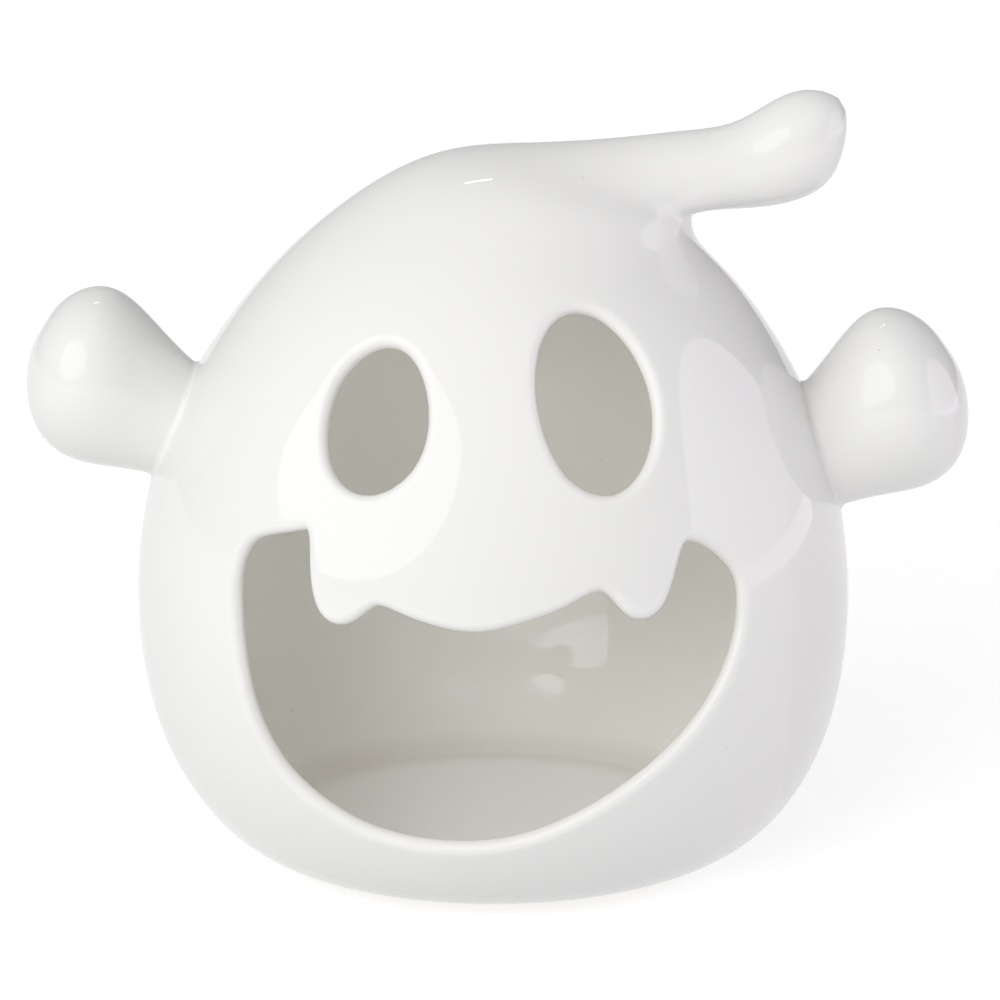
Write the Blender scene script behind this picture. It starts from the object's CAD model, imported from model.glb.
# %% [markdown]
# # A hollow ceramic ghost in white glaze
#
# The real piece is slip cast: liquid clay is poured into a plaster mould, left to form a skin, and drained.
# The mouth and the eyes are cut while the clay is leather hard, and their edges are sponged round. The curl
# on the crown and the two arms are cast in moulds of their own and luted on with slip. After the glaze firing
# four rubber bumpers go under the base. This script builds those pieces in that order.

# %% Load the solid model
import math

import bpy
import numpy as np
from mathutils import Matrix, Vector
from mathutils.geometry import delaunay_2d_cdt


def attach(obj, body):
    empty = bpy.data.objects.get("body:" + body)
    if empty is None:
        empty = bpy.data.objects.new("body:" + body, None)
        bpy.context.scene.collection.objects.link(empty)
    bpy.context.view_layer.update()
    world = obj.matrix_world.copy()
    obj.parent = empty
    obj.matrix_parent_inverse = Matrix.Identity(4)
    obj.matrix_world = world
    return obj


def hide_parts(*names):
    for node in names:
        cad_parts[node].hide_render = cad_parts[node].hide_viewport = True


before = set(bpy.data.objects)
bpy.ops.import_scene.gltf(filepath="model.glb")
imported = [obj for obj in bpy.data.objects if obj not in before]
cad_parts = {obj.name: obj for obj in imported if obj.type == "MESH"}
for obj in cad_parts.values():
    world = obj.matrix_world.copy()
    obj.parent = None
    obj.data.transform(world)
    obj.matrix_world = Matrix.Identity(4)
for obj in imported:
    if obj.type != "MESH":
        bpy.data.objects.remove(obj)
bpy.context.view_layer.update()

print("solid pieces:", ", ".join(sorted(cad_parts)))

# %% [markdown]
# ## The camera
#
# The figure was seen from about a metre away and from 16 degrees above. A long lens at that distance keeps the
# round body from bulging towards the viewer. The camera looks at a point on the body's axis, and a small sideways
# shift puts that axis a little left of the middle of the picture.

# %% Camera
MM = 0.001
LOOK_AT = Vector((0, 0, 86.6 * MM))
AWAY = 1.0
RAISED = math.radians(16)

camera_data = bpy.data.cameras.new("camera")
camera_data.sensor_width = 36
camera_data.lens = 153.45
camera_data.shift_x = 0.0075
camera = bpy.data.objects.new("camera", camera_data)
bpy.context.scene.collection.objects.link(camera)
camera.location = LOOK_AT + AWAY * Vector((0, -math.cos(RAISED), math.sin(RAISED)))
camera.rotation_euler = (math.radians(90) - RAISED, 0, 0)
bpy.context.scene.camera = camera
print("camera at", [round(c, 3) for c in camera.location])

# %% [markdown]
# ## One smooth skin from ribs
#
# A thrown or cast body has no flat panel anywhere, so it is drawn as a ladder of ribs. Each rib is an ellipse: the
# middle of its run from the left edge to the right edge, half of that run, and half its depth. Near the crown the
# ribs lean over and lead into the curl. A subdivision cage could give the same shape, but ribs joined by a cubic
# B-spline give a formula, and with a formula every point also has an exact normal. The wall thickness, the rims
# and the arms all need that normal.

# %% Ribs of the body and of the curl, in millimetres
HALF_W, HALF_D, BODY_H, BASE_Z = 84.0, 73.0, 170.0, 1.6
BASE_HALF_W, BASE_HALF_D, HEEL_RUN = 42.0, 34.5, 9.5
WALL = 4.3
CURL_REACH, CURL_RISE, CURL_R = 34.0, 16.0, 10.5

BODY_SHARES = [  # left edge, its height, right edge, its height, half depth
    (-0.778, 0.044, 0.805, 0.044, 0.801), (-0.935, 0.159, 0.949, 0.159, 0.945),
    (-0.994, 0.294, 1.000, 0.294, 1.000), (-0.997, 0.429, 1.000, 0.429, 1.000),
    (-0.942, 0.572, 0.944, 0.571, 0.932), (-0.818, 0.700, 0.832, 0.700, 0.822),
    (-0.628, 0.826, 0.674, 0.812, 0.658), (-0.399, 0.926, 0.553, 0.862, 0.479),
    (-0.164, 0.992, 0.543, 0.904, 0.342), (0.069, 0.997, 0.557, 0.908, 0.233),
]
CURL_SHARES = [  # middle along the reach, middle up the rise, half width, half depth, lean in degrees
    (-0.228, 0.00, 1.44, 1.14, 31.3), (0.093, 0.07, 1.14, 0.95, 47.9), (0.420, 0.12, 1.05, 0.91, 53.7),
    (0.676, 0.41, 1.15, 0.98, 52.3), (0.818, 0.75, 0.91, 0.86, 54.1), (0.932, 0.94, 0.51, 0.57, 58.3),
    (0.976, 1.01, 0.17, 0.14, 59.0),
]


def flat_rib(run):
    return [0, BASE_Z, BASE_HALF_W + run, 0, BASE_HALF_D + run]


def body_rib(left, left_z, right, right_z, depth):
    x0, z0, x1, z1 = left * HALF_W, left_z * BODY_H, right * HALF_W, right_z * BODY_H
    return [(x0 + x1) / 2, BASE_Z + (z0 + z1) / 2, (x1 - x0) / 2, (z1 - z0) / 2, depth * HALF_D]


NOTCH = (BODY_SHARES[-1][2] * HALF_W, BASE_Z + BODY_SHARES[-1][3] * BODY_H)


def curl_rib(along, up, width, depth, lean):
    lean = math.radians(lean)
    return [NOTCH[0] + along * CURL_REACH, NOTCH[1] + 0.8 * CURL_R + up * CURL_RISE,
            width * CURL_R * math.cos(lean), -width * CURL_R * math.sin(lean), depth * CURL_R]


RIBS = np.array([flat_rib(0), flat_rib(HEEL_RUN)] + [body_rib(*s) for s in BODY_SHARES]
                + [curl_rib(*s) for s in CURL_SHARES])
TIP = len(RIBS) - 1.0
print(len(RIBS), "ribs from the heel to the curl's tip")

# %% [markdown]
# The spline below is the "even" cubic B-spline. It passes near its control values, not through them, and in return
# both its slope and its bend run on without a step, which is what a glossy surface shows first.

# %% Spline, skin and normal
HALVINGS = 40  # enough to narrow a place down to less than a millionth of a millimetre


def weights(t):
    """How much each of four neighbouring control values counts, in sixths, at t between the middle two."""
    return (1 - t) ** 3, 3 * t ** 3 - 6 * t * t + 4, 3 * (t + t * t - t ** 3) + 1, t ** 3


def spline(controls, v):
    """Values of the open curve at v, and their slopes."""
    c = np.vstack([2 * controls[0] - controls[1], controls, 2 * controls[-1] - controls[-2]])
    v = np.asarray(v, float)
    i = np.clip(np.floor(v).astype(int), 0, len(controls) - 2)
    t = (v - i)[..., None]
    slopes = (-(1 - t) ** 2, 3 * t * t - 4 * t, 1 + 2 * t - 3 * t * t, t * t)
    value = sum(w * c[i + k] for k, w in enumerate(weights(t))) / 6
    return value, sum(s * c[i + k] for k, s in enumerate(slopes)) / 2


def closed_loop(controls, count):
    """count even steps in v round the closed curve."""
    c = np.asarray(controls, float)
    v = np.arange(count) * len(c) / count
    i = np.floor(v).astype(int)
    t = (v - i)[:, None]
    return sum(w * c[(i + k - 1) % len(c)] for k, w in enumerate(weights(t))) / 6


def unit(a):
    return a / np.linalg.norm(a, axis=-1, keepdims=True)


def skin(v, a):
    """Points of the outer skin at rib v and angle a, and normals. The angle runs from the right edge over the face."""
    r, s = spline(RIBS, v)
    c, n = np.cos(a), np.sin(a)
    point = np.stack([r[..., 0] + r[..., 2] * c, -r[..., 4] * n, r[..., 1] + r[..., 3] * c], -1)
    along = np.stack([s[..., 0] + s[..., 2] * c, -s[..., 4] * n, s[..., 1] + s[..., 3] * c], -1)
    across = np.stack([-r[..., 2] * n, -r[..., 4] * c, -r[..., 3] * n], -1)
    return point, unit(np.cross(along, across))


def narrow(low, high, below):
    """Halves the range from low to high until it holds only the place where below(v) turns from true to false."""
    for _ in range(HALVINGS):
        v = (low + high) / 2
        lower = below(v)
        low, high = np.where(lower, v, low), np.where(lower, high, v)
    return (low + high) / 2


def rib_through(x, z):
    """The rib whose line across the front passes through (x, z)."""
    def below(v):
        r, _slope = spline(RIBS, v)
        return r[..., 2] * (z - r[..., 1]) > r[..., 3] * (x - r[..., 0])

    return narrow(np.zeros_like(x), np.full_like(x, len(BODY_SHARES) + 1.0), below)


def face_place(x, z):
    """The place (v, a) on the face that lies at (x, z) seen square from the front."""
    v = rib_through(x, z)
    r, _slope = spline(RIBS, v)
    along = ((x - r[..., 0]) * r[..., 2] + (z - r[..., 1]) * r[..., 3]) / (r[..., 2] ** 2 + r[..., 3] ** 2)
    return v, np.arccos(np.clip(along, -1, 1))


probe, _normal = skin(np.array([0.0, 5.0, TIP]), np.zeros(3))
print("right edge at the heel, the belly and the tip:", probe.round(1).tolist())

# %% [markdown]
# ## The three openings
#
# Each outline is drawn by hand as a few points round the opening, as shares of its width and height, and smoothed
# by a closed spline. They are kept in the plane of the picture and carried onto the round skin by `face_place`.
# The mouth runs along the upper lip with its two fangs and back along the lower lip.

# %% Outlines: the shares, then the middle, lowest point, width and height, then the number of points
MOUTH = ([
    (-1, 0.81), (-0.95, 0.91), (-0.87, 0.95), (-0.76, 0.97), (-0.66, 1), (-0.655, 0.91), (-0.655, 0.82),
    (-0.63, 0.74), (-0.565, 0.72), (-0.50, 0.765), (-0.425, 0.81), (-0.33, 0.775), (-0.195, 0.745),
    (-0.04, 0.725), (0.11, 0.76), (0.265, 0.79), (0.41, 0.86), (0.495, 0.805), (0.55, 0.74), (0.625, 0.75),
    (0.665, 0.825), (0.69, 0.905), (0.725, 0.965), (0.84, 0.93), (0.945, 0.855), (1, 0.77),
    (0.99, 0.62), (0.92, 0.48), (0.805, 0.355), (0.655, 0.25), (0.485, 0.16), (0.315, 0.085),
    (0.125, 0.025), (-0.075, 0), (-0.295, 0.005), (-0.50, 0.04), (-0.665, 0.11), (-0.80, 0.195),
    (-0.895, 0.30), (-0.96, 0.43), (-0.99, 0.575), (-1, 0.705),
], (-0.5, 20.0, 118.0, 78.0), 330)
LEFT_EYE = ([
    (-1, 0.43), (-0.78, 0.76), (-0.10, 1), (0.64, 0.985), (1, 0.62), (0.76, 0.225), (-0.14, 0), (-0.86, 0.125),
], (-25.5, 99.5, 29.5, 37.0), 96)
RIGHT_EYE = ([
    (-1, 0.59), (-0.795, 0.925), (-0.15, 1), (0.53, 0.855), (1.01, 0.55), (0.965, 0.21), (0.345, 0), (-0.59, 0.15),
], (22.5, 99.0, 33.0, 45.5), 112)


def steps(points):
    """The distance from each point to the next."""
    return np.linalg.norm(np.diff(points, axis=0), axis=1)


def summed(distances):
    return np.concatenate([[0], np.cumsum(distances)])


def outline(shares, place, count):
    """Evenly spaced (x, z) round an opening, clockwise as the face is seen."""
    x, z, w, h = place
    loop = closed_loop(shares, 2000) * (w / 2, h) + (x, BASE_Z + z)
    closed = np.vstack([loop, loop[:1]])
    far = summed(steps(closed))
    even = np.arange(count) * far[-1] / count
    return np.stack([np.interp(even, far, closed[:, k]) for k in range(2)], -1)


OUTLINES = [outline(*opening) for opening in (MOUTH, LEFT_EYE, RIGHT_EYE)]
for name, line in zip(("mouth", "left eye", "right eye"), OUTLINES):
    print(name, "from", line.min(0).round(1), "to", line.max(0).round(1))

# %% [markdown]
# ## A grid over the whole skin, and a cut patch over the face
#
# Away from the face the skin is a plain grid of rows and columns. Over the face it has to end exactly at three
# curved outlines. A boolean would leave long thin triangles whose normals wobble in the gloss. So the face
# patch is laid flat, its grid points and the outlines are joined by a constrained Delaunay triangulation, the
# triangles inside the openings are dropped, and the rest is carried back onto the skin. The same triangles,
# one wall further in and turned over, make the inside.

# %% Rows and columns
COLUMNS, STEP = 208, 2.3
RIGHT, FRONT, LEFT = 0, math.pi / 2, math.pi
FACE_R = 76.0
FACE_LOW, FACE_HIGH = 13, 152  # millimetres over the table
FACE_FROM, FACE_TO = 32, 148  # degrees round the body

angles = np.arange(COLUMNS) * 2 * math.pi / COLUMNS
fine = np.linspace(0, TIP, 3001)


def line_up(a):
    """The skin's line from the heel to the tip at one angle."""
    return skin(fine, np.full_like(fine, a))[0]


travel = summed(np.max([steps(line_up(a)) for a in (RIGHT, FRONT, LEFT)], axis=0))
front = summed(steps(line_up(FRONT)))
ROWS = int(travel[-1] / STEP)
rows = np.interp(np.linspace(0, travel[-1], ROWS + 1), travel, fine)
print(ROWS, "rows and", COLUMNS, "columns")


def flatten(v, a):
    """A flat map of the face in millimetres: how far round, and how far up the front."""
    return np.stack([-a * FACE_R, np.interp(v, fine, front)], -1)


def unflatten(p):
    return np.interp(p[:, 1], front, fine), -p[:, 0] / FACE_R


height = skin(rows, np.full_like(rows, FRONT))[0][:, 2]
row_0, row_1 = (int(np.searchsorted(height, level)) for level in (FACE_LOW, FACE_HIGH))
col_0, col_1 = (int(COLUMNS * degrees / 360) for degrees in (FACE_FROM, FACE_TO))
print("face patch: rows", row_0, "to", row_1, "and columns", col_0, "to", col_1)

# %% Triangles of the face patch
HALO = (0.9, 2.0)  # two rows of points run along every outline at these distances
HALO_CLEAR, HALO_GAP = 0.75, 0.7  # a halo point keeps this far from the outlines and from its neighbours
GRID_CLEAR, GRID_GAP = 2.2, 1.1  # and a grid point this far from the outlines and from the halo


def inside(points, loop):
    """Which points lie inside a closed loop (even-odd rule)."""
    x, y = points[:, 0:1], points[:, 1:2]
    x0, y0 = loop[:, 0], loop[:, 1]
    x1, y1 = np.roll(x0, -1), np.roll(y0, -1)
    crosses = ((y0 > y) != (y1 > y)) & (x < (x1 - x0) * (y - y0) / (y1 - y0 + 1e-12) + x0)
    return crosses.sum(1) % 2 == 1


def nearest(points, others):
    """How far each point is from the nearest of the others."""
    return np.concatenate([np.linalg.norm(chunk[:, None] - others[None], axis=2).min(1)
                           for chunk in np.array_split(points, max(1, len(points) // 500))])


loops = [flatten(*face_place(line[:, 0], line[:, 1])) for line in OUTLINES]
all_loops = np.vstack(loops)
grid_v, grid_a = np.meshgrid(rows[row_0:row_1 + 1], angles[col_0:col_1 + 1], indexing="ij")
grid = flatten(grid_v.ravel(), grid_a.ravel())
n_r, n_c = grid_v.shape
border = np.zeros((n_r, n_c), bool)
border[[0, -1], :] = border[:, [0, -1]] = True
halo = []
for loop in loops:
    side = np.roll(loop, -1, 0) - np.roll(loop, 1, 0)
    away = unit(np.stack([-side[:, 1], side[:, 0]], -1))
    for far in HALO:
        halo.append(loop + far * away)
halo = np.vstack(halo)
halo = halo[~np.any([inside(halo, loop) for loop in loops], axis=0)]
halo = halo[nearest(halo, all_loops) > HALO_CLEAR]
keep = [halo[0]]
for spot in halo[1:]:
    if np.linalg.norm(np.array(keep) - spot, axis=1).min() > HALO_GAP:
        keep.append(spot)
halo = np.array(keep)
free = border.ravel() | (~np.any([inside(grid, loop) for loop in loops], axis=0)
                         & (nearest(grid, all_loops) > GRID_CLEAR) & (nearest(grid, halo) > GRID_GAP))
free_at = np.flatnonzero(free)
flat = np.vstack([grid[free], halo, all_loops])
first_loop = len(free_at) + len(halo)
edges, loop_at, k = [], [], first_loop
for loop in loops:
    ids = np.arange(k, k + len(loop))
    edges += list(zip(ids, np.roll(ids, -1)))
    loop_at.append(ids)
    k += len(loop)
made = delaunay_2d_cdt([Vector(p) for p in flat], [(int(a), int(b)) for a, b in edges], [], 0, 1e-6)
origin = {new: old[0] for new, old in enumerate(made[3]) if old}
face = np.array([[origin[i] for i in tri] for tri in made[2]])
middle = flat[face].mean(1)
face = face[~np.any([inside(middle, loop) for loop in loops], axis=0)]
print(len(flat), "points,", len(face), "triangles, new points:", len(made[0]) - len(flat))

# %% [markdown]
# ## The body with its rolled rims, floor and foot
#
# The rim of each opening is half a circle from the outer skin to the inner one, as a wet sponge leaves it. At every
# point of the outline it bulges into the opening. Two numbers are kept on each point for the glaze: `rim`, one on
# the crest of a rim, where glaze draws thin, and `within`, one on the inside wall, which gets the thin coat of
# glaze that is poured in and out again.

# %% Build the body


class Clay:
    """Points and faces in the order they are added, with the two numbers that the glaze reads."""

    def __init__(self):
        self.points, self.faces, self.rim, self.within = [], [], [], []
        self.count = 0

    def add(self, points, rim=0.0, within=0.0):
        points = np.asarray(points).reshape(-1, 3)
        ids = np.arange(self.count, self.count + len(points))
        self.points.append(points)
        self.rim.append(np.broadcast_to(rim, len(points)))
        self.within.append(np.broadcast_to(within, len(points)))
        self.count += len(points)
        return ids

    def band(self, low, high, flip=False):
        """Four-sided faces between two closed rings of points."""
        for a, b, c, d in zip(low, np.roll(low, -1), np.roll(high, -1), high):
            self.faces.append((d, c, b, a) if flip else (a, b, c, d))

    def fan(self, ring, tip, flip=False):
        """Triangles between a closed ring of points and one point in its middle."""
        for a, b in zip(ring, np.roll(ring, -1)):
            self.faces.append((b, a, tip) if flip else (a, b, tip))

    def mesh(self, name, crease=()):
        """The finished object: millimetres become metres, and all is shaded smooth but the creased ring of points."""
        data = bpy.data.meshes.new(name)
        data.from_pydata(np.vstack(self.points) * MM, [], [[int(i) for i in f] for f in self.faces])
        for label, values in (("rim", self.rim), ("within", self.within)):
            numbers = data.attributes.new(label, "FLOAT", "POINT").data
            numbers.foreach_set("value", np.concatenate(values).astype(np.float32))
        data.shade_smooth()
        data.validate()
        crease = set(int(i) for i in crease)
        for edge in data.edges:
            edge.use_edge_sharp = edge.vertices[0] in crease and edge.vertices[1] in crease
        piece = bpy.data.objects.new(name, data)
        bpy.context.scene.collection.objects.link(piece)
        print(name, "has", len(data.polygons), "faces")
        return piece


clay = Clay()
flat_v, flat_a = unflatten(flat)
loop_points = np.vstack([skin(*face_place(line[:, 0], line[:, 1]))[0] for line in OUTLINES])
CREASE, INNER_END = 1.15, 16.6  # the ribs where the inside wall starts and ends
THIN, THIN_REACH = 0.35, 1.4  # how far glaze draws thin beside a rim already, and over how many millimetres


def lay_skin(offset, first_row, last_row, turned, within):
    """The skin or the inside, one offset off the outer surface, with the face patch cut into it."""
    v, a = np.meshgrid(rows[:last_row + 1], angles, indexing="ij")
    point, normal = skin(v, a)
    at = np.full(v.shape, -1)
    wanted = np.ones(v.shape, bool)
    wanted[:first_row] = False
    wanted[row_0 + 1:row_1, col_0 + 1:col_1] = False
    at[wanted] = clay.add((point + offset * normal)[wanted], within=within)
    point, normal = skin(flat_v, flat_a)
    place = point + offset * normal
    near = np.exp(-(nearest(point, loop_points) / THIN_REACH) ** 2)
    patch = np.full(len(flat), -1)
    on_grid = np.zeros(len(flat), bool)
    on_grid[:len(free_at)] = border.ravel()[free_at]
    rr, cc = np.unravel_index(free_at, (n_r, n_c))
    patch[:len(free_at)][on_grid[:len(free_at)]] = at[row_0 + rr, col_0 + cc][on_grid[:len(free_at)]]
    patch[~on_grid] = clay.add(place[~on_grid], rim=THIN * near[~on_grid], within=within)
    for r in range(first_row, last_row):
        for c in range(COLUMNS):
            if not (row_0 <= r < row_1 and col_0 <= c < col_1):
                d = (c + 1) % COLUMNS
                quad = (at[r, c], at[r + 1, c], at[r + 1, d], at[r, d])
                clay.faces.append(quad[::-1] if turned else quad)
    corners = point[face]
    outward = np.einsum("ij,ij->i", np.cross(corners[:, 1] - corners[:, 0], corners[:, 2] - corners[:, 0]),
                        normal[face].mean(1)) > 0
    for tri, out in zip(patch[face], outward):
        clay.faces.append(tuple(tri) if out != turned else tuple(tri[::-1]))
    return at, patch


outer, outer_patch = lay_skin(0.0, 0, ROWS, False, 0.0)
inner_last = int(np.searchsorted(rows, INNER_END))
inner_first = int(np.searchsorted(rows, CREASE))
inner, inner_patch = lay_skin(-WALL, inner_first, inner_last, True, 1.0)
end, _slope = spline(RIBS, TIP)
clay.fan(outer[-1], clay.add([[end[0], 0, end[1]]])[0], flip=True)
end, _slope = spline(RIBS, rows[inner_last])
clay.fan(inner[-1], clay.add([[end[0], 0, end[1]]], within=1.0)[0])
print("skin, inside and tip:", clay.count, "points")

# %% Roll the rims
RIM_STEPS = 14
for line, ids in zip(OUTLINES, loop_at):
    point, normal = skin(*face_place(line[:, 0], line[:, 1]))
    back = unit(np.cross(normal, np.roll(point, -1, 0) - np.roll(point, 1, 0)))
    ring = outer_patch[ids]
    for step in range(1, RIM_STEPS + 1):
        turn = math.pi * step / RIM_STEPS
        if step < RIM_STEPS:
            rolled = point - WALL / 2 * (1 - math.cos(turn)) * normal - WALL / 2 * math.sin(turn) * back
            following = clay.add(rolled, rim=THIN + (1 - THIN) * math.sin(turn), within=step / RIM_STEPS)
        else:
            following = inner_patch[ids]
        clay.band(following, ring)
        ring = following
print("rims rolled:", clay.count, "points")

# %% [markdown]
# The base is flat and dry: a cast piece stands on the kiln shelf on bare clay, so its glaze is wiped off there.
# A shallow round dish keeps the middle clear of the table. Inside, slip settles on the floor before it is drained and
# glaze pools there later, so the floor is level, a little thicker than the wall, and meets it in a crease.

# %% Close the base and the floor
DISH_R, DISH_H, DISH_STEPS = 24.0, 1.0, 8
DISH_EDGE = 0.5  # the dish's wall leans out by this much each way
POOL = 0.1  # the floor's glaze lies this much below the crease
heel = skin(np.zeros(COLUMNS), angles)[0]
circle = np.stack([np.cos(angles), -np.sin(angles), np.zeros(COLUMNS)], -1)
ring = outer[0]
for share in (0.8, 0.6, 0.4, 0.2, 0.0):
    loop = heel * share + (1 - share) * (circle * (DISH_R + DISH_EDGE) + (0, 0, BASE_Z))
    following = clay.add(loop)
    clay.band(ring, following)
    ring = following
for step in range(1, DISH_STEPS + 1):
    turn = math.pi * step / DISH_STEPS
    loop = circle * (DISH_R + DISH_EDGE * math.cos(turn)) + (0, 0, BASE_Z + DISH_H * (1 - math.cos(turn)) / 2)
    following = clay.add(loop)
    clay.band(ring, following)
    ring = following
for radius in (18, 12, 6, 2):
    following = clay.add(circle * radius + (0, 0, BASE_Z + DISH_H))
    clay.band(ring, following)
    ring = following
clay.fan(ring, clay.add([[0, 0, BASE_Z + DISH_H]])[0])

corner, corner_normal = skin(np.full(COLUMNS, rows[inner_first]), angles)
corner = corner - WALL * corner_normal
floor_z = corner[:, 2].mean() - POOL
middle = (corner * (1, 1, 0)).mean(0) + (0, 0, floor_z)
ring = inner[inner_first]
for share in (0.99, 0.975, 0.95, 0.9, 0.8, 0.65, 0.5, 0.35, 0.2, 0.08):
    following = clay.add((corner - middle) * (share, share, 0) + middle, within=1.0)
    clay.band(following, ring)
    ring = following
clay.fan(ring, clay.add([middle], within=1.0)[0], flip=True)
print("inside floor at", round(floor_z, 2), "mm, crease from", corner.min(0).round(1), "to", corner.max(0).round(1))
ghost = clay.mesh("ghost_body", crease=inner[inner_first])

# %% [markdown]
# ## The arms
#
# Each arm is a round, slightly bent pear. It is turned about its own axis, and each line along it starts where it
# meets the body. At its root a small fillet of slip flares out onto the body. The root sits a hair inside the
# body's skin, as slip fills that joint and no light gets through.

# %% Build both arms
ARM_SHARES = np.array([  # along the reach, half thickness, rise of the middle over the axis
    (-0.40, 0.60, -0.06), (-0.12, 0.66, -0.08), (0.14, 0.80, -0.14), (0.37, 0.96, -0.17), (0.59, 1.02, -0.11),
    (0.78, 0.92, -0.01), (0.93, 0.62, 0.06), (1, 0.27, 0.08), (1, 0, 0.08),
])
ARMS = {  # name, height on the body, reach, thickness, upward tilt in degrees
    -1: ("left", 106.6, 36.2, 39.0, 32.0),
    1: ("right", 100.0, 35.6, 41.0, 36.0),
}
ARM_SIDES, ARM_ROWS, FILLET_ROWS = 112, 60, 8
SLIP_FILLET, SUNK = 1.8, 0.12
PLUG = 1.6  # the arm is closed this deep inside the body's wall
TOWARDS_TIP = 1.25  # over 1, the rows crowd together at the tip


def edge_point(side, height):
    """The body's outermost point on one side at a height over the base."""
    def below(v):
        r, _slope = spline(RIBS, v)
        return r[1] + side * r[3] < BASE_Z + height

    return skin(narrow(0.0, len(BODY_SHARES) - 1.0, below), RIGHT if side > 0 else LEFT)[0]


def stand_off(p):
    """About how far points beside the body stand off its skin."""
    r, _slope = spline(RIBS, rib_through(p[..., 0], p[..., 2]))
    half = np.hypot(r[..., 2], r[..., 3])
    across = ((p[..., 0] - r[..., 0]) * r[..., 2] + (p[..., 2] - r[..., 1]) * r[..., 3]) / half ** 2
    return (np.hypot(across, p[..., 1] / r[..., 4]) - 1) * half


def build_arm(side):
    """One arm from its slip fillet to its tip. side is -1 for the left of the picture and 1 for the right."""
    name, height, reach, thick, tilt = ARMS[side]
    root = edge_point(side, height)
    tilt = math.radians(tilt)
    axis = np.array([side * math.cos(tilt), 0, math.sin(tilt)])
    up = np.array([-axis[2] * side, 0, axis[0] * side])
    turn = np.arange(ARM_SIDES) * 2 * math.pi / ARM_SIDES

    def point(v, grown):
        """The ring of points at v along an arm that is grown thicker and longer by so many millimetres."""
        c = ARM_SHARES * (reach, thick / 2, thick / 2)
        c[:, 0] += np.where(ARM_SHARES[:, 0] > 0, ARM_SHARES[:, 0] * grown, 0)
        c[:, 1] = np.maximum(0, c[:, 1] + np.where(ARM_SHARES[:, 1] > 0, grown, 0))
        p = spline(c, v)[0]
        across = (p[..., 1] * np.cos(turn) + p[..., 2])[..., None] * up
        return root + p[..., :1] * axis + across + (p[..., 1] * np.sin(turn))[..., None] * np.array([0, side, 0])

    def start(grown, off):
        """Where each line along the arm comes out of the body by so many millimetres."""
        return narrow(np.zeros(ARM_SIDES), np.full(ARM_SIDES, 3.0), lambda v: stand_off(point(v, grown)) < off)

    arm = Clay()
    rings = []
    for step in range(FILLET_ROWS):
        lean = math.pi / 2 * step / FILLET_ROWS
        grown, off = SLIP_FILLET * (1 - math.sin(lean)), SLIP_FILLET * (1 - math.cos(lean)) - SUNK
        rings.append(arm.add(point(start(grown, off), grown)))
    first, last = start(0, SLIP_FILLET - SUNK), len(ARM_SHARES) - 1
    for share in np.linspace(0, 1, ARM_ROWS + 1)[:-1]:
        rings.append(arm.add(point(first + (last - first) * (1 - (1 - share) ** TOWARDS_TIP), 0)))
    for low, high in zip(rings, rings[1:]):
        arm.band(high, low)
    tip = point(np.full(ARM_SIDES, float(last)), 0)[0]
    arm.fan(rings[-1], arm.add([tip])[0], flip=True)
    arm.fan(rings[0], arm.add([root - PLUG * np.array([side, 0, 0])])[0])
    return arm.mesh(f"{name}_arm_glazed")


left_arm, right_arm = build_arm(-1), build_arm(1)

# %% [markdown]
# Faces have to point outwards, or the glaze bump turns inside out. The volume inside a closed mesh, summed face by
# face, is positive only when they do.

# %% Check the turn of every piece


def volume(piece):
    """What a closed mesh holds, in cubic millimetres."""
    data = piece.data
    data.calc_loop_triangles()
    tri = np.array([t.vertices[:] for t in data.loop_triangles])
    place = np.array([v.co[:] for v in data.vertices]) * 1000
    a, b, c = place[tri[:, 0]], place[tri[:, 1]], place[tri[:, 2]]
    return float(np.einsum("ij,ij->i", a, np.cross(b, c)).sum() / 6)


for piece in (ghost, left_arm, right_arm):
    if volume(piece) < 0:
        piece.data.flip_normals()
    print(piece.name, "holds", round(volume(piece) / 1000, 1), "cm3")

# %% [markdown]
# ## Four rubber bumpers
#
# Small stick-on domes keep the bare clay off the table. They repeat, so Geometry Nodes makes them: a grid is
# bent into one dome by a formula, and the dome is set down on the four points of a small circle.

# %% A small language for node trees


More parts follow.
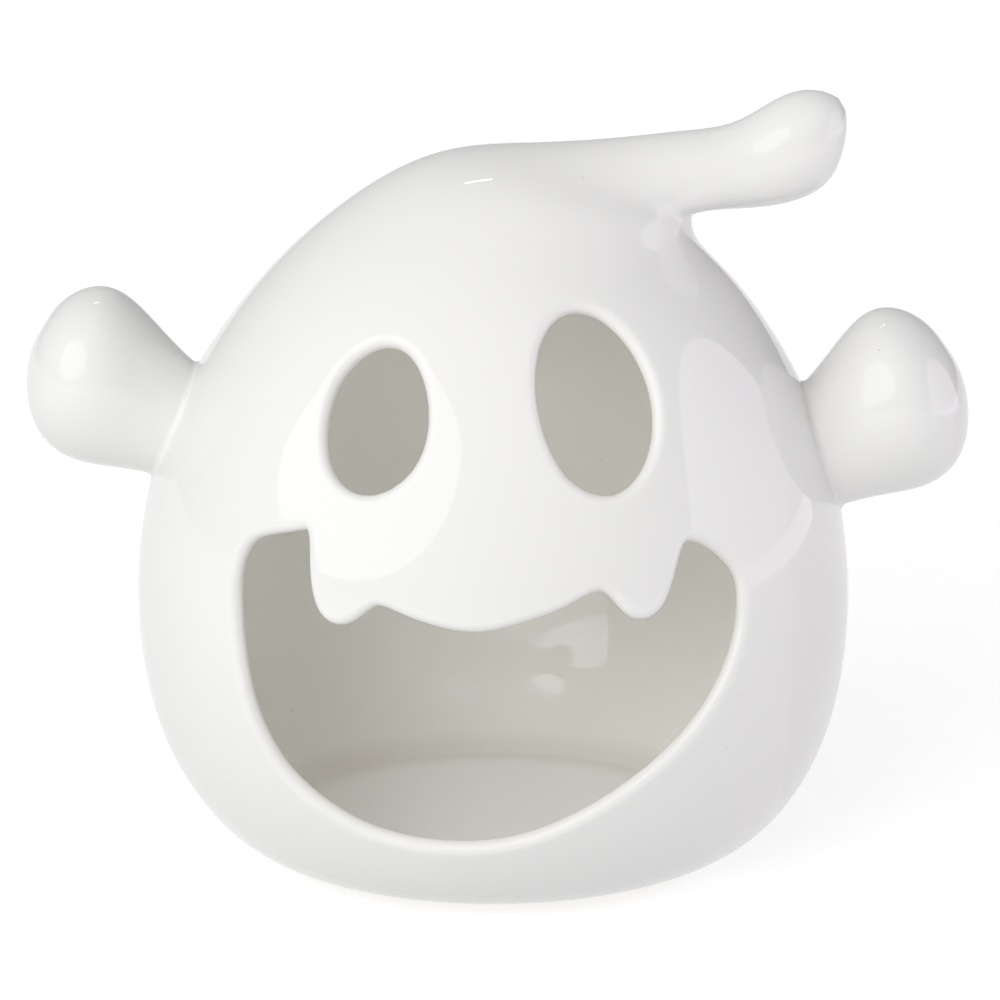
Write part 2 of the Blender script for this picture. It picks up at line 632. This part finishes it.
class Wire:
    """The output of a node. Arithmetic on it adds Math nodes to the same tree."""

    def __init__(self, tree, socket=None):
        self.tree, self.socket = tree, socket

    def put(self, kind, settings=None, inputs=None, output=0):
        """Adds any node: its settings first, then the values or wires of its sockets."""
        node = self.tree.nodes.new(kind)
        for name, value in (settings or {}).items():
            setattr(node, name, value)
        for name, value in (inputs or {}).items():
            if isinstance(value, Wire):
                self.tree.links.new(value.socket, node.inputs[name])
            else:
                node.inputs[name].default_value = value
        return Wire(self.tree, node.outputs[output] if len(node.outputs) else None)

    def output(self, number):
        """Another output of the same node."""
        return Wire(self.tree, self.socket.node.outputs[number])

    def math(self, operation, a, b=0.0):
        return self.put("ShaderNodeMath", {"operation": operation}, {0: a, 1: b})

    def __add__(self, other):
        return self.math("ADD", self, other)

    def __sub__(self, other):
        return self.math("SUBTRACT", self, other)

    def __mul__(self, other):
        return self.math("MULTIPLY", self, other)

    def __truediv__(self, other):
        return self.math("DIVIDE", self, other)

    def __pow__(self, other):
        return self.math("POWER", self, other)

    def __rsub__(self, other):
        return self.math("SUBTRACT", other, self)

    def __rtruediv__(self, other):
        return self.math("DIVIDE", other, self)

    def __rpow__(self, other):
        return self.math("POWER", other, self)

    __radd__, __rmul__ = __add__, __mul__

    def ramp(self, low, high, out_low=0.0, out_high=1.0):
        """A smooth step from out_low to out_high while the value goes from low to high."""
        return self.put("ShaderNodeMapRange", {"interpolation_type": "SMOOTHSTEP"},
                        {0: self, 1: low, 2: high, 3: out_low, 4: out_high})

    def tint(self, other, share):
        """This colour mixed with another one by share."""
        return self.put("ShaderNodeMix", {"data_type": "RGBA"}, {0: share, 6: self, 7: other}, 2)


print("node language ready")

# %% Bumpers by Geometry Nodes
FOOT_R, FOOT_T, FOOT_RING = 4.5 * MM, BASE_Z * MM, 31.0 * MM
GLUED, SOLE = 0.35, 0.75  # the glued face ends at the first share of a dome's profile, the sole starts at the second


def bumper_tree(rubber):
    """Four domes on a circle. One side of the grid goes round the dome, the other from the glued face to the sole."""
    tree = bpy.data.node_groups.new("bumpers", "GeometryNodeTree")
    for label, value in (("Radius", FOOT_R), ("Thickness", FOOT_T), ("Ring radius", FOOT_RING)):
        tree.interface.new_socket(label, in_out="INPUT", socket_type="NodeSocketFloat").default_value = value
    tree.interface.new_socket("Geometry", in_out="OUTPUT", socket_type="NodeSocketGeometry")
    start = Wire(tree)
    radius = start.put("NodeGroupInput")
    thick, ring = radius.output(1), radius.output(2)
    grid = start.put("GeometryNodeMeshGrid", {}, {"Size X": 1.0, "Size Y": 1.0, "Vertices X": 65, "Vertices Y": 25})
    spot = start.put("GeometryNodeInputPosition")
    split = start.put("ShaderNodeSeparateXYZ", {}, {0: spot})
    around, share = (split + 0.5) * (2 * math.pi), split.output(1) + 0.5
    lean = share.ramp(GLUED, SOLE) * (math.pi / 2)
    top = share.put("ShaderNodeMapRange", {}, {0: share, 1: 0.0, 2: GLUED, 3: 0.0, 4: 1.0})
    sole = share.put("ShaderNodeMapRange", {}, {0: share, 1: SOLE, 2: 1.0, 3: 1.0, 4: 0.0})
    edge = thick * 0.5
    out = (radius - edge) * top * sole + edge * lean.math("COSINE", lean) * top * sole
    high = thick * (1 - share.ramp(0.30, 0.45) * 0.5) - edge * lean.math("SINE", lean)
    place = start.put("ShaderNodeCombineXYZ", {}, {0: out * around.math("COSINE", around),
                                                   1: out * around.math("SINE", around), 2: high})
    dome = start.put("GeometryNodeSetPosition", {}, {"Geometry": grid, "Position": place})
    dome = start.put("GeometryNodeMergeByDistance", {}, {"Geometry": dome, "Distance": 0.00001})
    circle = start.put("GeometryNodeMeshCircle", {}, {"Vertices": 4, "Radius": ring})
    circle = start.put("GeometryNodeTransform", {}, {"Geometry": circle, "Rotation": (0, 0, math.pi / 4)})
    set_down = start.put("GeometryNodeInstanceOnPoints", {}, {"Points": circle, "Instance": dome})
    real = start.put("GeometryNodeRealizeInstances", {}, {0: set_down})
    smooth = start.put("GeometryNodeSetShadeSmooth", {}, {0: real})
    done = start.put("GeometryNodeSetMaterial", {}, {"Geometry": smooth, "Material": rubber})
    start.put("NodeGroupOutput", {}, {0: done})
    return tree


def from_nodes(name, tree, values):
    """Sets the inputs of a geometry tree, evaluates it once and keeps the result as a plain mesh."""
    seed = bpy.data.objects.new(name + "_seed", bpy.data.meshes.new(name + "_seed"))
    bpy.context.scene.collection.objects.link(seed)
    modifier = seed.modifiers.new("nodes", "NODES")
    modifier.node_group = tree
    for item in tree.interface.items_tree:
        if item.in_out == "INPUT":
            modifier[item.identifier] = values[item.name]
    plain = bpy.data.meshes.new_from_object(seed.evaluated_get(bpy.context.evaluated_depsgraph_get()))
    bpy.data.objects.remove(seed)
    piece = bpy.data.objects.new(name, plain)
    bpy.context.scene.collection.objects.link(piece)
    return piece


# %% [markdown]
# ## White glaze
#
# The glaze is a layer of clear glass over white clay, with a little tin in it. Three things keep it from looking
# like plastic: it lies in slow waves that bend the reflections, it has a few pinholes where gas broke through, and
# it draws thin on the rims, where the warmer clay shows. The inside got a thinner, creamier coat, which pooled
# white on the floor and left the crease round it a little dull.

# %% Glaze
CREASE_X, CREASE_Y = 0.0538, 0.0459  # half the crease's width and depth, in metres


def new_material(name):
    """An empty material, and a wire to start its tree from."""
    material = bpy.data.materials.new(name)
    material.use_nodes = True
    tree = material.node_tree
    tree.nodes.clear()
    return material, Wire(tree)


def finish_material(start, inputs):
    shader = start.put("ShaderNodeBsdfPrincipled", {}, inputs)
    start.put("ShaderNodeOutputMaterial", {}, {"Surface": shader})


def glaze_material():
    material, start = new_material("white_glaze")
    spot = start.put("ShaderNodeTexCoord", output=3)
    rim = start.put("ShaderNodeAttribute", {"attribute_name": "rim"}, output=2)
    within = start.put("ShaderNodeAttribute", {"attribute_name": "within"}, output=2)
    waves = start.put("ShaderNodeTexNoise", {}, {"Vector": spot, "Scale": 26.0, "Detail": 1.0, "Roughness": 0.4})
    drift = start.put("ShaderNodeTexNoise", {}, {"Vector": spot, "Scale": 9.0, "Detail": 2.0, "Roughness": 0.5})
    grain = start.put("ShaderNodeTexNoise", {}, {"Vector": spot, "Scale": 1400.0, "Detail": 2.0, "Roughness": 0.6})
    holes = start.put("ShaderNodeTexVoronoi", {}, {"Vector": spot, "Scale": 120.0})
    pit = holes.ramp(0.010, 0.024, 1.0, 0.0)
    high = start.put("ShaderNodeSeparateXYZ", {}, {0: spot}, 2)
    facing = start.put("ShaderNodeSeparateXYZ", {}, {0: start.put("ShaderNodeNewGeometry", output=1)}, 2)
    bare = high.ramp(0.0029, 0.0021) * facing.ramp(-0.6, -0.9)
    level = facing.ramp(0.975, 0.995)
    to_crease = (1 / CREASE_X, 1 / CREASE_Y, 0)
    shares = start.put("ShaderNodeVectorMath", {"operation": "MULTIPLY"}, {0: spot, 1: to_crease})
    outwards = start.put("ShaderNodeVectorMath", {"operation": "LENGTH"}, {0: shares}, 1)
    crease = outwards.ramp(0.80, 1.0) * high.ramp(0.0125, 0.0082)

    outside = start.put("ShaderNodeRGB")
    outside.socket.default_value = (0.815, 0.812, 0.800, 1)
    colour = outside.tint((0.795, 0.793, 0.783, 1), drift.ramp(0.35, 0.65))
    poured = start.put("ShaderNodeRGB")
    poured.socket.default_value = (0.936, 0.927, 0.899, 1)
    poured = poured.tint((0.985, 0.983, 0.976, 1), level)
    poured = poured.tint((0.80, 0.78, 0.72, 1), crease * 0.5)
    colour = colour.tint(poured, within.ramp(0.2, 1.0))
    colour = colour.tint((0.82, 0.80, 0.76, 1), rim.ramp(0.45, 1.0) * 0.35)
    colour = colour.tint((0.42, 0.37, 0.31, 1), pit * 0.75)
    speck = grain.ramp(0.62, 0.74)
    clay_colour = outside.tint((0.74, 0.69, 0.61, 1), 0.85).tint((0.55, 0.49, 0.41, 1), speck)
    colour = colour.tint(clay_colour, bare)
    rough = (drift.ramp(0.3, 0.7, 0.015, 0.035) + grain * 0.01 + pit * 0.35) * (1 - bare) + bare * 0.8
    height = waves * 0.10 * (1 - bare) + grain * (0.0008 + bare * 0.02) - pit * 0.10
    bump = start.put("ShaderNodeBump", {}, {"Height": height, "Distance": 0.001, "Strength": 1.0})
    finish_material(start, {"IOR": 1.52, "Base Color": colour, "Roughness": rough, "Normal": bump})
    return material


glaze = glaze_material()
print("glaze mixed with", len(glaze.node_tree.nodes), "nodes")

# %% [markdown]
# ## Rubber
#
# The bumpers are soft grey polyurethane, a little cloudy, with dust on them. Nobody looks at them for long, but a
# flat grey would give the underside away.

# %% Rubber, and the bumpers that wear it


def rubber_material():
    material, start = new_material("bumper_rubber")
    spot = start.put("ShaderNodeTexCoord", output=3)
    cloud = start.put("ShaderNodeTexNoise", {}, {"Vector": spot, "Scale": 220.0, "Detail": 3.0})
    dust = start.put("ShaderNodeTexNoise", {}, {"Vector": spot, "Scale": 2600.0, "Detail": 2.0})
    base = start.put("ShaderNodeRGB")
    base.socket.default_value = (0.50, 0.50, 0.48, 1)
    colour = base.tint((0.40, 0.40, 0.385, 1), cloud.ramp(0.35, 0.65))
    colour = colour.tint((0.66, 0.64, 0.60, 1), dust.ramp(0.58, 0.70) * 0.6)
    height = dust * 0.02 + cloud * 0.03
    bump = start.put("ShaderNodeBump", {}, {"Height": height, "Distance": 0.001, "Strength": 1.0})
    rough = cloud.ramp(0.3, 0.7, 0.35, 0.5)
    finish_material(start, {"IOR": 1.5, "Base Color": colour, "Roughness": rough, "Normal": bump})
    return material


rubber = rubber_material()
feet = from_nodes("rubber_bumpers", bumper_tree(rubber),
                  {"Radius": FOOT_R, "Thickness": FOOT_T, "Ring radius": FOOT_RING})
print("bumpers:", len(feet.data.polygons), "faces, holding", round(volume(feet)), "mm3")

# %% [markdown]
# ## Hand the pieces over
#
# Once luted and glazed, the body and its curl are one piece to the eye, so one mesh stands for both solids. Each arm
# keeps a mesh of its own. Nothing on the figure moves, so all of them ride on the one body.

# %% Dress the pieces and hand them to the frame
for piece, nodes in (
    (ghost, ("body_shell", "head_curl")),
    (left_arm, ("left_arm",)),
    (right_arm, ("right_arm",)),
):
    piece.data.materials.clear()
    piece.data.materials.append(glaze)
    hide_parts(*nodes)
    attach(piece, "root")
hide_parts("foot_front_left", "foot_front_right", "foot_back_left", "foot_back_right")
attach(feet, "root")
print("pieces riding on the root body")

# %% [markdown]
# ## Floor and light
#
# White glaze on white paper is a matter of small differences. The figure stands in a wide white tent that is dimmer
# at the right and behind. An oval soft box at the front left makes the large soft patch round the left eye, and a
# tall oval panel with a faint purple cast shows as a pale shape on the right cheek. A small lamp near the camera lifts
# the front and the inside; it is kept out of the reflections. A thin strip behind draws the short streak on the
# crown. The paper glows a little, to come out as pure white, and throws no light back, as the tent does that already.

# %% Floor
floor_mesh = bpy.data.meshes.new("floor")
floor_mesh.from_pydata([(-6, -4, 0), (6, -4, 0), (6, 8, 0), (-6, 8, 0)], [], [(0, 1, 2, 3)])
floor = bpy.data.objects.new("floor", floor_mesh)
bpy.context.scene.collection.objects.link(floor)
paper, start = new_material("white_paper")
spot = start.put("ShaderNodeTexCoord", output=3)
fibre = start.put("ShaderNodeTexNoise", {}, {"Vector": spot, "Scale": 60.0, "Detail": 4.0})
away = start.put("ShaderNodeVectorMath", {"operation": "LENGTH"}, {0: spot}, 1)
white = start.put("ShaderNodeRGB")
white.socket.default_value = (0.60, 0.60, 0.60, 1)
glow = start.put("ShaderNodeCombineColor", {}, {i: away.ramp(0.2, 0.6, 0.58, 0.63) for i in range(3)})
finish_material(start, {
    "Base Color": white.tint((0.59, 0.59, 0.59, 1), fibre.ramp(0.4, 0.6)), "Roughness": 0.9,
    "Specular IOR Level": 0.1, "Emission Color": glow, "Emission Strength": 1.0,
})
floor_mesh.materials.append(paper)
floor.visible_diffuse = False

# %% Light
AIM = Vector((0, 0, 0.09))
LAMP_AWAY = 1.1


def soft_box(name, turn, lift, size, radiance, shape="ELLIPSE", colour=(1, 1, 1)):
    """A flat light, seen from the figure at turn degrees right of the camera and lift degrees up."""
    turn, lift = math.radians(turn), math.radians(lift)
    away = Vector((math.sin(turn) * math.cos(lift), -math.cos(turn) * math.cos(lift), math.sin(lift)))
    data = bpy.data.lights.new(name, "AREA")
    data.shape = shape
    data.size, data.size_y = size
    area = size[0] * size[1] * (math.pi / 4 if shape == "ELLIPSE" else 1)
    data.energy, data.color = 4 * area * radiance, colour
    lamp = bpy.data.objects.new(name, data)
    bpy.context.scene.collection.objects.link(lamp)
    lamp.location = AIM + LAMP_AWAY * away
    lamp.rotation_euler = away.to_track_quat("Z", "Y").to_euler()
    print(name, "at", [round(c, 2) for c in lamp.location], "power", round(data.energy, 1), "W")
    return lamp


soft_box("key_left", -43, 26, (1.22, 0.91), 1.03)
soft_box("fill_right", 90, -3, (1.32, 1.72), 0.90, colour=(1.0, 0.93, 1.02))
soft_box("thin_strip", -163, 63, (0.16, 0.02), 12.0, "RECTANGLE")
front_lamp = soft_box("front_lamp", -20, 19, (0.45, 0.45), 3.8)
front_lamp.visible_glossy = False

world = bpy.data.worlds.new("white_room")
world.use_nodes = True
world.node_tree.nodes.clear()
start = Wire(world.node_tree)
way = start.put("ShaderNodeSeparateXYZ", {}, {0: start.put("ShaderNodeTexCoord")})
right, back, up = way, way.output(1), way.output(2)
# each line below is a soft patch of the tent, by direction, that is darker or lighter than the rest
dim_right = right.ramp(-0.2, 0.8) * 0.43
dim_behind = (back * 0.8 + up * 0.6).ramp(0.1, 0.7) * 0.22
bright_above = (up * 0.77 - back * 0.64).ramp(0.6, 1.0) * 0.16
bright_below = up.ramp(-0.1, -0.6) * 0.09
dim_low_left = (right * -0.8 - up * 0.55 - back * 0.2).ramp(0.3, 1.0) * 0.25
bright_low_front = (back * -0.8 - up * 0.6).ramp(0.6, 1.0) * 0.17
room = 0.94 - dim_right - dim_behind - dim_low_left + bright_above + bright_below + bright_low_front
shader = start.put("ShaderNodeBackground", {}, {"Strength": room})
start.put("ShaderNodeOutputWorld", {}, {"Surface": shader})
bpy.context.scene.world = world
bpy.context.scene.view_settings.view_transform = "Standard"
bpy.context.scene.view_settings.look = "None"
bpy.context.scene.cycles.diffuse_bounces = 14
print("lights set")
